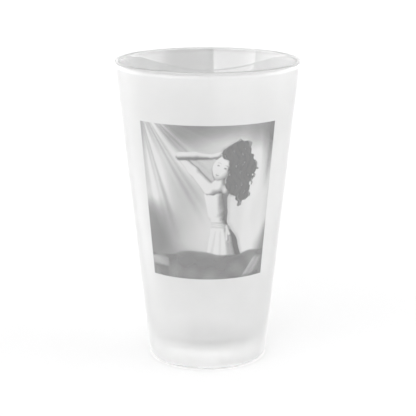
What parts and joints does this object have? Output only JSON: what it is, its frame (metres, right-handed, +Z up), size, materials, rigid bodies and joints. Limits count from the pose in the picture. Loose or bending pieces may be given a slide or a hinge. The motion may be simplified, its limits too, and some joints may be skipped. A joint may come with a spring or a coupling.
{
  "type": "pint glass",
  "caption": "Tapered frosted pint glass with a rounded lip, a thick solid base and a grey picture printed on its front.",
  "frame": {"origin": "centre of the base, on the surface that the glass stands on", "axes": "+Z up along the glass's axis of symmetry, -Y towards the front, where the print is, +X to the right seen from the front"},
  "size_m": [0.089, 0.089, 0.148],
  "materials": {
    "clear_glass": "polished, clear",
    "satin_coat": "satin, frosted white",
    "grey_ink": "translucent grey ink"
  },
  "bodies": {
    "root": {"glass_body": "clear_glass", "satin_coat": "satin_coat", "printed_picture": "grey_ink"}
  },
  "joints": []
}
